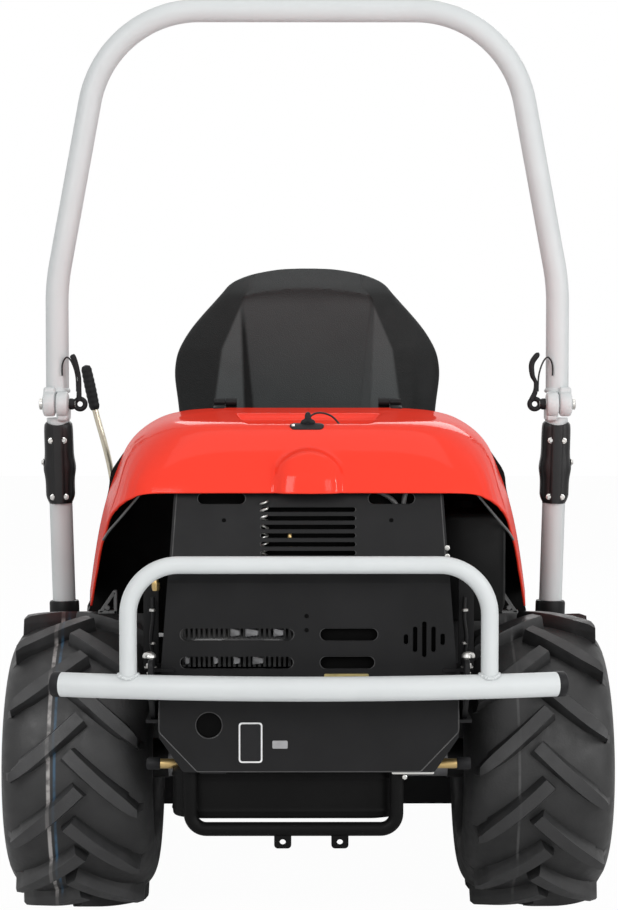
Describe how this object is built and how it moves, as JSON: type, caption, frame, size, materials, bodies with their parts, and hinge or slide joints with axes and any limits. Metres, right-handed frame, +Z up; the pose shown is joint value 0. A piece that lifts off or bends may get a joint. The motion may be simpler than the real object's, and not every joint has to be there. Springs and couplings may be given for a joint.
{
  "type": "ride-on brush mower",
  "caption": "Ride-on brush mower with rear engine, folding roll-over hoop, mid mower deck, steered front wheels and lugged rear tyres.",
  "frame": {"origin": "on the ground, in the middle of the machine's overall box", "axes": "+X to the machine's right, +Y forwards, +Z up"},
  "size_m": [1.0192, 2.0348, 1.6072],
  "materials": {
    "black_paint": "satin black powder coat",
    "black_plastic": "moulded black plastic",
    "cast_metal": "bare casting",
    "engine_metal": "dark engine casting",
    "grey_paint": "light grey powder coat",
    "red_paint": "gloss red enamel",
    "seat_vinyl": "grained black seat cover",
    "strap_cord": "black coated cord",
    "tyre_rubber": "ribbed tyre rubber",
    "zinc_steel": "zinc plated steel"
  },
  "bodies": {
    "chassis": {"axle_bracket": "black_paint", "bulkhead": "black_paint", "chassis_rails": "black_paint", "cross_members": "black_paint", "engine_block": "engine_metal", "engine_deck": "black_paint", "floor_pan": "black_paint", "front_axle_beam": "black_paint", "front_bumper": "grey_paint", "front_cover": "red_paint", "fuel_tank": "black_plastic", "lift_lever": "zinc_steel", "pedals": "black_plastic", "rear_axle_housing": "cast_metal", "rear_bumper": "grey_paint", "rear_guard_panel": "black_paint", "rops_base": "black_paint", "rops_clamps": "black_paint", "rops_posts": "grey_paint", "seat_back": "seat_vinyl", "seat_base": "black_paint", "seat_cushion": "seat_vinyl", "silencer_box": "black_paint", "steering_column": "black_paint", "under_guard_tube": "black_paint"},
    "rear_wheel_right": {"rear_tyre_right": "tyre_rubber", "rear_rim_right": "grey_paint"},
    "rear_wheel_left": {"rear_tyre_left": "tyre_rubber", "rear_rim_left": "grey_paint"},
    "front_wheel_right": {"front_tyre_right": "tyre_rubber", "front_rim_right": "grey_paint"},
    "front_wheel_left": {"front_tyre_left": "tyre_rubber", "front_rim_left": "grey_paint"},
    "knuckle_right": {"steering_knuckle_right": "cast_metal"},
    "knuckle_left": {"steering_knuckle_left": "cast_metal"},
    "tie_rod": {"tie_rod": "zinc_steel"},
    "pitman_arm": {"pitman_arm": "zinc_steel"},
    "steering_wheel": {"steering_wheel": "black_plastic"},
    "hood": {"engine_hood": "red_paint", "hood_latch": "black_plastic", "latch_cord": "strap_cord"},
    "rops_hoop": {"rops_hoop": "grey_paint", "rops_pins": "zinc_steel", "pin_lanyard_left": "strap_cord", "pin_lanyard_right": "strap_cord"},
    "deck_arms_rear": {"deck_arms_rear": "black_paint"},
    "deck_arms_front": {"deck_arms_front": "black_paint"},
    "mower_deck": {"mower_deck": "black_paint", "deck_brackets": "black_paint", "belt_cover": "black_plastic"},
    "rotor_right": {"blade_rotor_right": "black_paint"},
    "rotor_left": {"blade_rotor_left": "black_paint"}
  },
  "joints": [
    {"name": "rear_right_spin", "type": "hinge", "parent": "chassis", "child": "rear_wheel_right", "pos_m": [0.384, -0.5465, 0.254], "axis": [1, 0, 0], "continuous": true},
    {"name": "rear_left_spin", "type": "hinge", "parent": "chassis", "child": "rear_wheel_left", "pos_m": [-0.384, -0.5465, 0.254], "axis": [1, 0, 0], "continuous": true},
    {"name": "steering", "type": "hinge", "parent": "chassis", "child": "steering_wheel", "pos_m": [0, 0.39216, 0.86168], "axis": [0, -0.4226, 0.9063], "range_deg": [-240, 240]},
    {"name": "kingpin_right", "type": "hinge", "parent": "chassis", "child": "knuckle_right", "pos_m": [0.315, 0.7035, 0.203], "axis": [0, 0, 1], "range_deg": [-30, 30]},
    {"name": "kingpin_left", "type": "hinge", "parent": "chassis", "child": "knuckle_left", "pos_m": [-0.315, 0.7035, 0.203], "axis": [0, 0, 1], "range_deg": [-30, 30]},
    {"name": "tie_rod_pivot", "type": "hinge", "parent": "knuckle_left", "child": "tie_rod", "pos_m": [-0.315, 0.5935, 0.19], "axis": [0, 0, 1], "range_deg": [-30, 30]},
    {"name": "pitman_pivot", "type": "hinge", "parent": "chassis", "child": "pitman_arm", "pos_m": [0, 0.6335, 0.225], "axis": [0, 0, 1], "range_deg": [-30, 30]},
    {"name": "front_right_spin", "type": "hinge", "parent": "knuckle_right", "child": "front_wheel_right", "pos_m": [0.425, 0.7035, 0.203], "axis": [1, 0, 0], "continuous": true},
    {"name": "front_left_spin", "type": "hinge", "parent": "knuckle_left", "child": "front_wheel_left", "pos_m": [-0.425, 0.7035, 0.203], "axis": [1, 0, 0], "continuous": true},
    {"name": "hood_hinge", "type": "hinge", "parent": "chassis", "child": "hood", "pos_m": [0, -0.3415, 0.867], "axis": [-1, 0, 0], "range_deg": [0, 55]},
    {"name": "rops_fold", "type": "hinge", "parent": "chassis", "child": "rops_hoop", "pos_m": [0, -0.2845, 0.862], "axis": [1, 0, 0], "range_deg": [0, 90]},
    {"name": "deck_lift", "type": "hinge", "parent": "chassis", "child": "deck_arms_front", "pos_m": [0, 0.1955, 0.33], "axis": [1, 0, 0], "range_deg": [-15, 15]},
    {"name": "deck_level", "type": "hinge", "parent": "deck_arms_front", "child": "mower_deck", "pos_m": [0, 0.35417, 0.245], "axis": [1, 0, 0], "range_deg": [-15, 15]},
    {"name": "rear_arm_pivot", "type": "hinge", "parent": "chassis", "child": "deck_arms_rear", "pos_m": [0, -0.1965, 0.33], "axis": [1, 0, 0], "range_deg": [-15, 15]},
    {"name": "rotor_right_spin", "type": "hinge", "parent": "mower_deck", "child": "rotor_right", "pos_m": [0.245, 0.0935, 0.124], "axis": [0, 0, 1], "continuous": true},
    {"name": "rotor_left_spin", "type": "hinge", "parent": "mower_deck", "child": "rotor_left", "pos_m": [-0.245, 0.0935, 0.124], "axis": [0, 0, 1], "continuous": true}
  ],
  "couplings": [
    {"joint": "kingpin_right", "follows": "steering", "ratio": 0.125},
    {"joint": "kingpin_left", "follows": "steering", "ratio": 0.125},
    {"joint": "tie_rod_pivot", "follows": "steering", "ratio": -0.125},
    {"joint": "pitman_pivot", "follows": "steering", "ratio": 0.125},
    {"joint": "deck_level", "follows": "deck_lift", "ratio": -1},
    {"joint": "rear_arm_pivot", "follows": "deck_lift", "ratio": 1}
  ]
}
